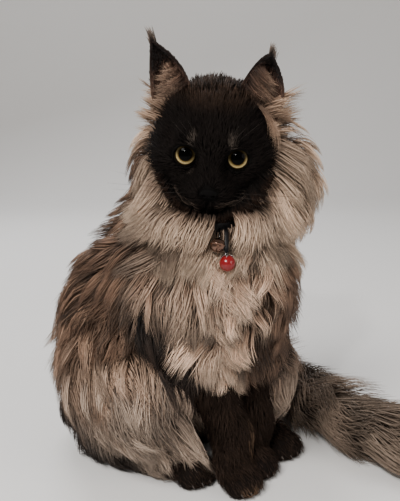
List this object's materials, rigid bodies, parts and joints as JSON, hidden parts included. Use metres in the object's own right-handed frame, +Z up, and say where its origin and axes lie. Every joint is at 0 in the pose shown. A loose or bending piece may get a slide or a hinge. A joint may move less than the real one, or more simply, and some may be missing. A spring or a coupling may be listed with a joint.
{
  "type": "maine coon cat model",
  "caption": "Still, life-size model of a long-haired maine coon cat, seated, head turned to the viewer, tail laid round its side, with a collar, bell and charm.",
  "frame": {"origin": "on the floor, below the middle of the bounding box", "axes": "+Z up; -Y the way the face looks; +X to the cat's left, where the tail ends"},
  "size_m": [0.4066, 0.2774, 0.3925],
  "materials": {
    "coat": "long smoke-coloured fur, matt",
    "eye": "clear over a gold iris",
    "nose": "moist black nose leather",
    "collar": "black strap with a slight shine",
    "bell": "worn bronze-coloured metal",
    "cap": "bright silver-coloured metal",
    "bead": "glossy red"
  },
  "bodies": {
    "root": {"back": "coat", "bead": "bead", "bead_cap": "cap", "bell": "bell", "bell_loop": "bell", "charm_strap": "collar", "chest": "coat", "collar": "collar", "ear_left": "coat", "ear_right": "coat", "eye_left": "eye", "eye_right": "eye", "foreleg_left": "coat", "foreleg_right": "coat", "forepaw_left": "coat", "forepaw_right": "coat", "head": "coat", "hind_foot_left": "coat", "hind_foot_right": "coat", "neck": "coat", "nose": "nose", "tail_1": "coat", "tail_2": "coat", "tail_3": "coat", "thigh_left": "coat", "thigh_right": "coat"}
  },
  "joints": []
}
